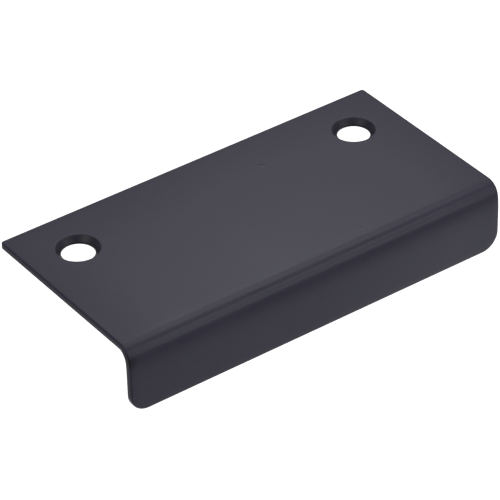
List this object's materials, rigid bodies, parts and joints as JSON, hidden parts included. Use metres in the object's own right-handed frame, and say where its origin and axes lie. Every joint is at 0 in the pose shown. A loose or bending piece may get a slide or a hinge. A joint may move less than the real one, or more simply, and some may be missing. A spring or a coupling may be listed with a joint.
{
  "type": "tab pull",
  "caption": "Folded sheet-metal tab pull in black powder coat, a flat plate with countersunk screw holes and a short lip turned down for the fingers.",
  "frame": {"origin": "midway between the two screw holes, on the plate's mounting face (its underside)", "axes": "+X along the pull's length, -Y towards the lip, +Z out of the plate's top face, the side the screws go in from; the lip hangs down towards -Z"},
  "size_m": [0.0846, 0.042, 0.0143],
  "materials": {
    "black_powder_coat": "fine matt black powder coat on steel sheet"
  },
  "bodies": {
    "root": {"pull_plate": "black_powder_coat"}
  },
  "joints": []
}
